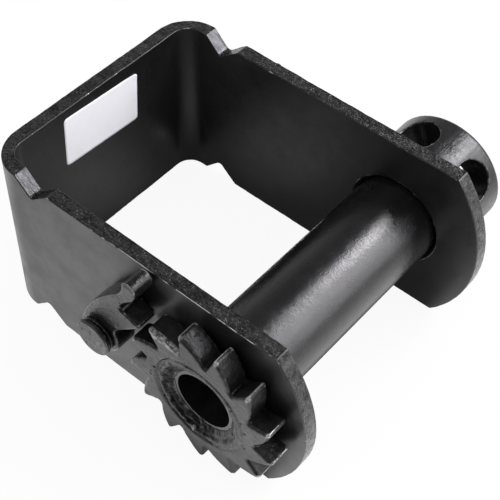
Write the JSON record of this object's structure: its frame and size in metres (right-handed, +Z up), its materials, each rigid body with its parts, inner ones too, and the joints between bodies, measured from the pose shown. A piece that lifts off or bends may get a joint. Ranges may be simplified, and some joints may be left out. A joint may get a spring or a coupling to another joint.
{
  "type": "sliding winch",
  "caption": "Sliding cargo winch: bent plate frame with track notches, a strap drum with ratchet gear and pawl, and a cap with bar holes.",
  "frame": {"origin": "centre of the flat back face of the frame's web", "axes": "+X from the web to the drum, +Y along the drum from the ratchet gear to the bar cap, +Z up across the plate's height"},
  "size_m": [0.2035, 0.2089, 0.1052],
  "materials": {
    "black_paint": "satin black paint with fine orange peel, worn bright along the cut edges",
    "cast_paint": "black paint over a pitted casting, rubbed grey on the faces",
    "weld_paint": "black paint over a rippled weld bead"
  },
  "bodies": {
    "frame": {"frame": "black_paint", "pawl_rivet": "black_paint", "pawl_head_washer": "black_paint", "pawl_spacer": "black_paint"},
    "drum": {"drum_tube": "black_paint", "ratchet_gear": "cast_paint", "gear_weld": "weld_paint", "bar_cap": "black_paint", "cap_weld": "weld_paint"},
    "pawl": {"pawl": "cast_paint"}
  },
  "joints": [
    {"name": "drum_turn", "type": "hinge", "parent": "frame", "child": "drum", "pos_m": [0.1524, 0, 0], "axis": [0, 1, 0], "continuous": true},
    {"name": "pawl_lift", "type": "hinge", "parent": "frame", "child": "pawl", "pos_m": [0.089, -0.0817, 0], "axis": [0, -1, 0], "range_deg": [0, 235]}
  ]
}
